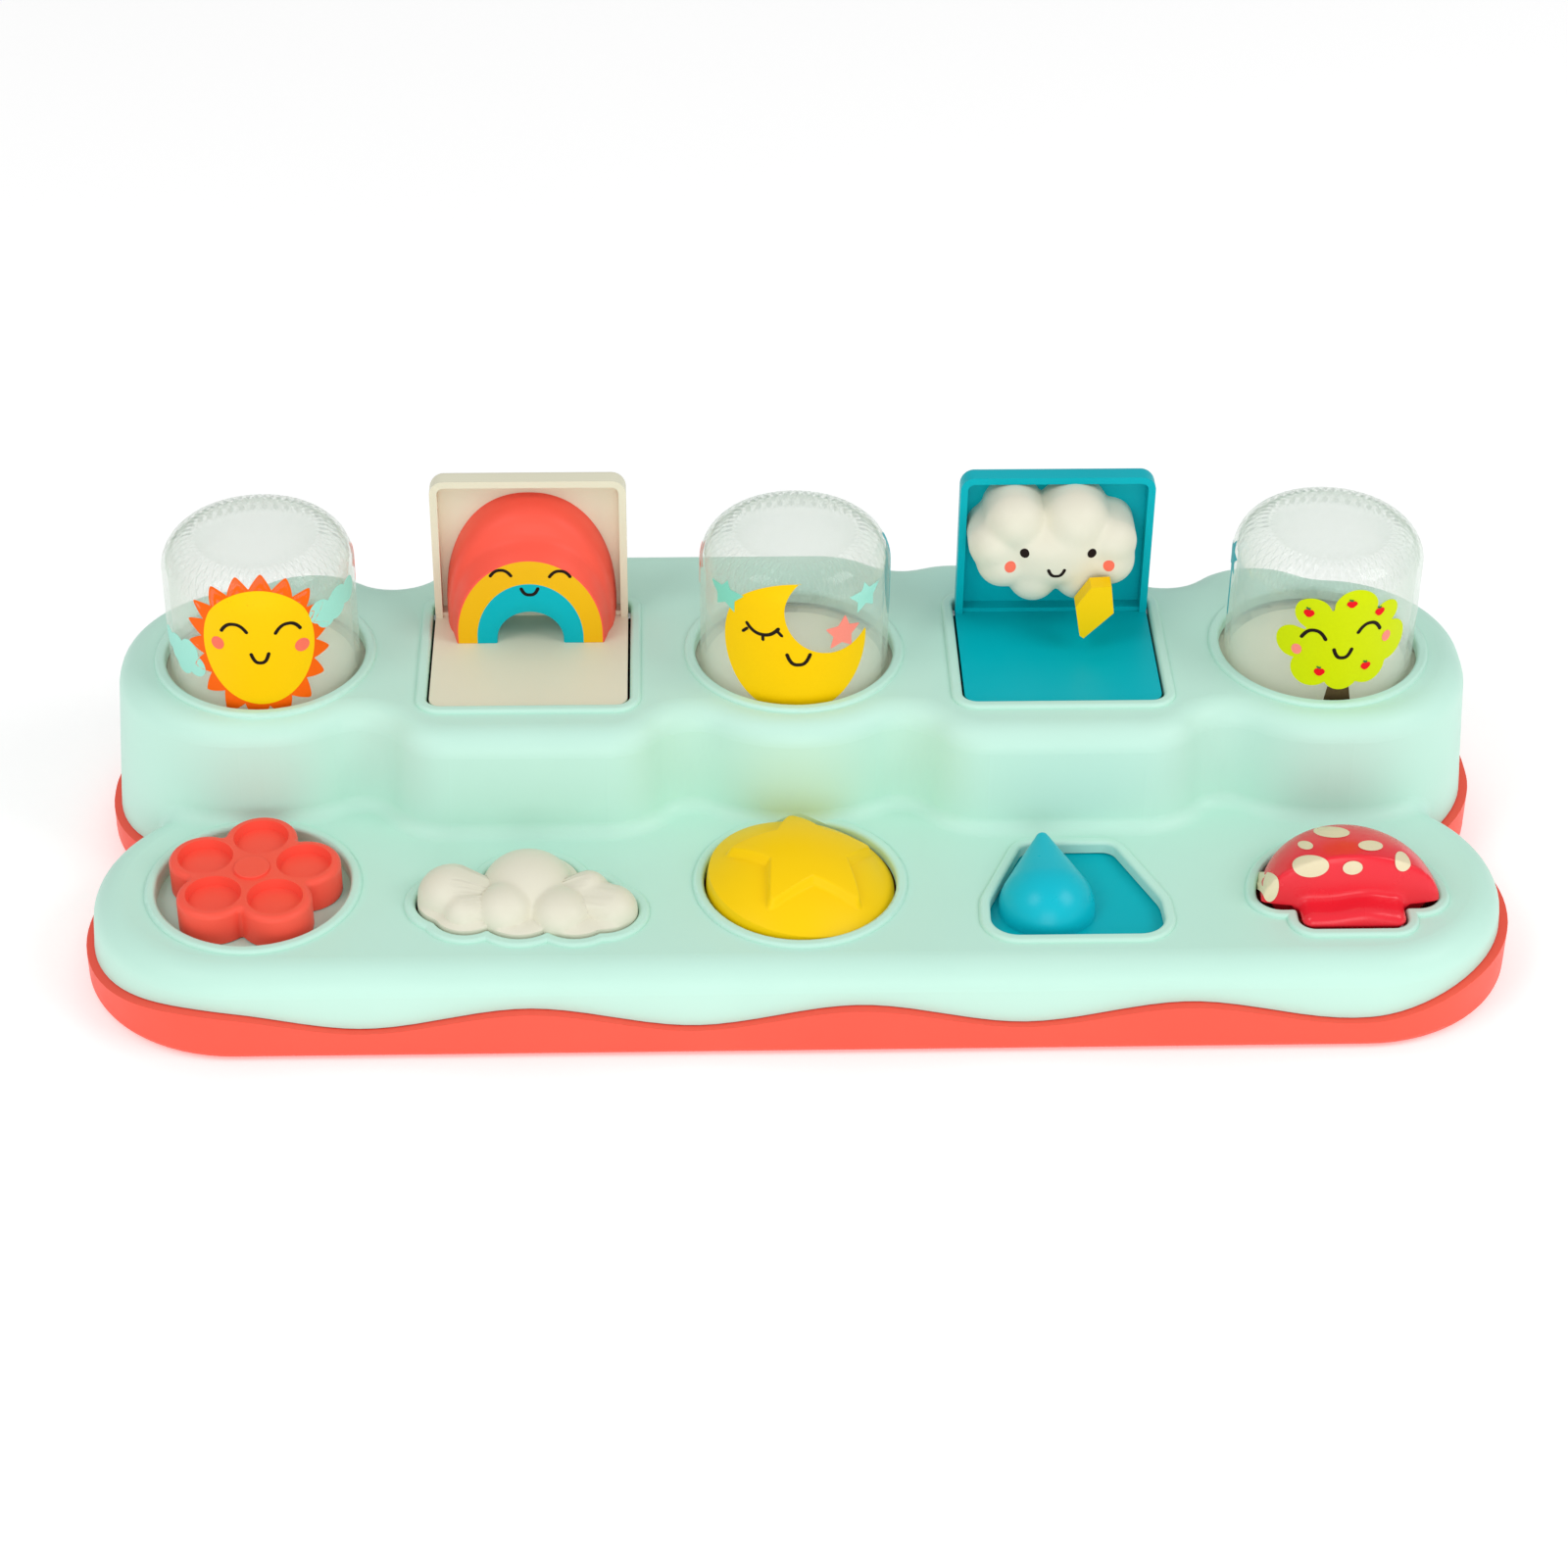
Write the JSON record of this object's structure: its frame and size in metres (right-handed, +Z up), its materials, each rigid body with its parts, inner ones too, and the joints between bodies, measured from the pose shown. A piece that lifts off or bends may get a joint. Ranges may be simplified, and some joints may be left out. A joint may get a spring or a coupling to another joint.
{
  "type": "pop up toy",
  "caption": "Two-tier nursery pop-up toy: spring-loaded clear domes and hinged flaps in the raised row, each freed by a different hand control in the low row",
  "frame": {"origin": "on the ground under the middle of the base", "axes": "+X along the toy to the viewer's right, +Y to the back, +Z up"},
  "size_m": [0.3786, 0.1626, 0.0999],
  "materials": {
    "mint_plastic": "moulded, satin gloss",
    "coral_plastic": "moulded, satin gloss",
    "cream_plastic": "moulded, satin gloss",
    "teal_plastic": "moulded, satin gloss",
    "clear_plastic": "clear moulded styrene, printed",
    "yellow_plastic": "moulded, satin gloss",
    "drop_plastic": "moulded, satin gloss",
    "red_plastic": "moulded, with printed cream spots",
    "cloud_plastic": "moulded, satin",
    "inner_plastic": "natural acetal",
    "steel": "zinc plated",
    "foot_rubber": "moulded rubber"
  },
  "bodies": {
    "housing": {"top_shell": "mint_plastic", "base_tray": "coral_plastic", "base_screws": "steel", "rubber_feet": "foot_rubber", "slide_retainer": "inner_plastic", "flap_axle_cream": "steel", "flap_axle_blue": "steel", "flap_spring_cream": "steel", "flap_spring_blue": "steel", "star_axle": "steel", "mushroom_axle": "steel", "dome_spring_left": "steel", "dome_spring_middle": "steel", "dome_spring_right": "steel", "cloud_button_springs": "steel", "latch_spring_sun": "steel", "latch_spring_rainbow": "steel", "latch_spring_moon": "steel", "latch_spring_cloud": "steel", "latch_spring_tree": "steel"},
    "sun_pop_up": {"dome_left": "clear_plastic", "plunger_left": "cream_plastic"},
    "moon_pop_up": {"dome_middle": "clear_plastic", "plunger_middle": "cream_plastic"},
    "tree_pop_up": {"dome_right": "clear_plastic", "plunger_right": "cream_plastic"},
    "rainbow_flap": {"flap_cream": "cream_plastic", "rainbow_figure": "coral_plastic"},
    "cloud_flap": {"flap_blue": "teal_plastic", "cloud_figure": "cloud_plastic", "lightning_bolt": "yellow_plastic"},
    "dial": {"flower_dial": "coral_plastic", "dial_cam": "inner_plastic"},
    "push_button": {"cloud_button": "cloud_plastic"},
    "star": {"star_rocker": "yellow_plastic"},
    "slider": {"slide_plate": "teal_plastic", "drop_grip": "drop_plastic"},
    "mushroom": {"mushroom_rocker": "red_plastic"},
    "sun_bar": {"latch_sun": "inner_plastic"},
    "rainbow_bar": {"latch_rainbow": "inner_plastic"},
    "moon_bar": {"latch_moon": "inner_plastic"},
    "cloud_bar": {"latch_cloud": "inner_plastic"},
    "tree_bar": {"latch_tree": "inner_plastic"}
  },
  "joints": [
    {"name": "sun_rise", "type": "slide", "parent": "housing", "child": "sun_pop_up", "axis": [0, 0, -1], "range_m": [0, 0.033], "stiffness_N_per_m": 60, "springref_m": -0.02, "deforming": ["dome_spring_left"]},
    {"name": "moon_rise", "type": "slide", "parent": "housing", "child": "moon_pop_up", "axis": [0, 0, -1], "range_m": [0, 0.033], "stiffness_N_per_m": 60, "springref_m": -0.02, "deforming": ["dome_spring_middle"]},
    {"name": "tree_rise", "type": "slide", "parent": "housing", "child": "tree_pop_up", "axis": [0, 0, -1], "range_m": [0, 0.033], "stiffness_N_per_m": 60, "springref_m": -0.02, "deforming": ["dome_spring_right"]},
    {"name": "rainbow_hinge", "type": "hinge", "parent": "housing", "child": "rainbow_flap", "pos_m": [-0.072, 0.0445, 0.0535], "axis": [1, 0, 0], "range_deg": [0, 90], "stiffness_Nm_per_rad": 0.012, "springref_deg": -68.75},
    {"name": "cloud_hinge", "type": "hinge", "parent": "housing", "child": "cloud_flap", "pos_m": [0.072, 0.0445, 0.0535], "axis": [1, 0, 0], "range_deg": [0, 90], "stiffness_Nm_per_rad": 0.012, "springref_deg": -68.75},
    {"name": "dial_turn", "type": "hinge", "parent": "housing", "child": "dial", "pos_m": [-0.144, -0.0407, 0.026], "axis": [0, 0, -1], "range_deg": [0, 50], "stiffness_Nm_per_rad": 0.02, "springref_deg": -11.46},
    {"name": "button_press", "type": "slide", "parent": "housing", "child": "push_button", "axis": [0, 0, -1], "range_m": [0, 0.004], "stiffness_N_per_m": 300, "springref_m": -0.002, "deforming": ["cloud_button_springs"]},
    {"name": "star_rock", "type": "hinge", "parent": "housing", "child": "star", "pos_m": [0, -0.0407, 0.024], "axis": [0, -1, 0], "range_deg": [0, 14], "stiffness_Nm_per_rad": 0.05, "springref_deg": -14.32},
    {"name": "drop_slide", "type": "slide", "parent": "housing", "child": "slider", "axis": [1, 0, 0], "range_m": [0, 0.0146]},
    {"name": "mushroom_rock", "type": "hinge", "parent": "housing", "child": "mushroom", "pos_m": [0.144, -0.0587, 0.022], "axis": [-1, 0, 0], "range_deg": [0, 11], "stiffness_Nm_per_rad": 0.08, "springref_deg": -14.32},
    {"name": "sun_latch", "type": "slide", "parent": "housing", "child": "sun_bar", "axis": [0, -1, 0], "range_m": [0, 0.0025], "deforming": ["latch_spring_sun"]},
    {"name": "rainbow_latch", "type": "slide", "parent": "housing", "child": "rainbow_bar", "axis": [0, -1, 0], "range_m": [0, 0.0025], "deforming": ["latch_spring_rainbow"]},
    {"name": "moon_latch", "type": "slide", "parent": "housing", "child": "moon_bar", "axis": [0, -1, 0], "range_m": [0, 0.0025], "deforming": ["latch_spring_moon"]},
    {"name": "cloud_latch", "type": "slide", "parent": "housing", "child": "cloud_bar", "axis": [0, -1, 0], "range_m": [0, 0.0025], "deforming": ["latch_spring_cloud"]},
    {"name": "tree_latch", "type": "slide", "parent": "housing", "child": "tree_bar", "axis": [0, -1, 0], "range_m": [0, 0.0025], "deforming": ["latch_spring_tree"]}
  ],
  "couplings": [
    {"joint": "sun_latch", "follows": "dial_turn", "m_per_rad": 0.00275},
    {"joint": "rainbow_latch", "follows": "button_press", "ratio": 0.6},
    {"joint": "moon_latch", "follows": "star_rock", "m_per_rad": 0.00982},
    {"joint": "cloud_latch", "follows": "drop_slide", "ratio": 0.16438},
    {"joint": "tree_latch", "follows": "mushroom_rock", "m_per_rad": 0.0125}
  ]
}
